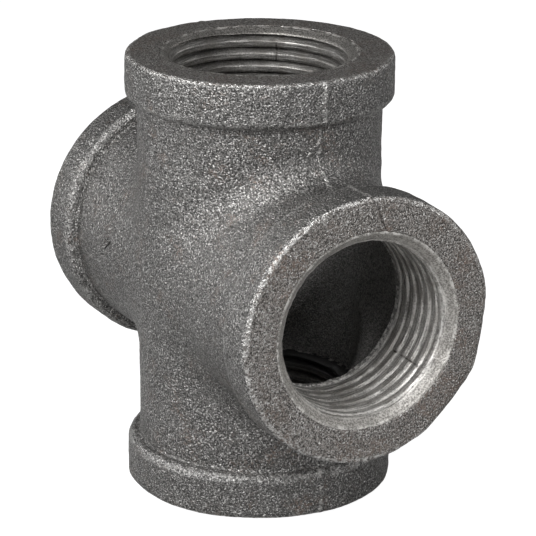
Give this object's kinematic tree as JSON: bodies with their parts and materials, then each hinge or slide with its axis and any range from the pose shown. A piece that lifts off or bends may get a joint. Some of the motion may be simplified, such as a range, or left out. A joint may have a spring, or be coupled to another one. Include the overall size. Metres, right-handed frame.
{
  "type": "pipe cross fitting",
  "caption": "Cast-iron pipe cross: equal female-threaded outlets with reinforcing bands on two crossing straight runs, joining pipes in one plane.",
  "frame": {"origin": "where the axes of the vertical and the horizontal run cross, at the middle of the fitting", "axes": "+Z along the vertical run towards the top outlet, +X along the horizontal run towards the right outlet, +Y along the fitting's thin direction, square to the plane of the outlets"},
  "size_m": [0.0762, 0.0456, 0.0762],
  "materials": {
    "cast_skin": "black-annealed sand-cast skin, fine-grained and matt",
    "machined_thread": "bare machined iron with fine circular tool marks"
  },
  "bodies": {
    "root": {"centre_body": "cast_skin", "top_band": "cast_skin", "bottom_band": "cast_skin", "left_band": "cast_skin", "right_band": "cast_skin", "top_thread": "machined_thread", "bottom_thread": "machined_thread", "left_thread": "machined_thread", "right_thread": "machined_thread"}
  },
  "joints": []
}
